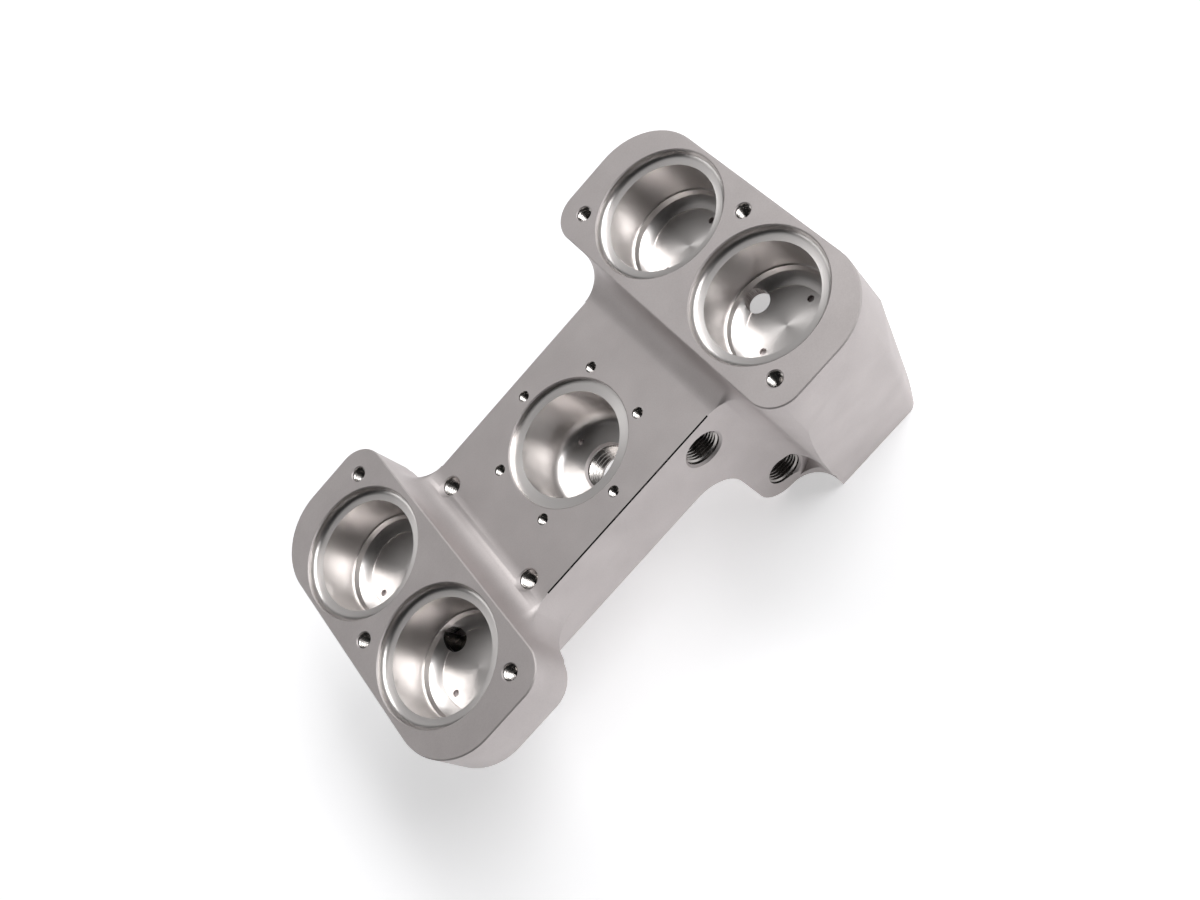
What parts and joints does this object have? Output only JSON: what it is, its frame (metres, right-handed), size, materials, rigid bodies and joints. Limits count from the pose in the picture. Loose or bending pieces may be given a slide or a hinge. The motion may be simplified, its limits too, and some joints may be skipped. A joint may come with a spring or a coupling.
{
  "type": "manifold block",
  "caption": "One-piece machined aluminium manifold block: cupped lobes joined by a bridge, with a deep windowed lobe, threaded side ports and tapped screw holes.",
  "frame": {"origin": "on the axis of the central cup, at the top face of the bridge", "axes": "+X along the bridge towards the deep lobe, +Y away from the side with the two threaded ports, +Z out of the cup faces"},
  "size_m": [0.1508, 0.09, 0.0611],
  "materials": {
    "blasted_aluminium": "fine bead-blasted, with bright turned edges"
  },
  "bodies": {
    "root": {"manifold_body": "blasted_aluminium"}
  },
  "joints": []
}
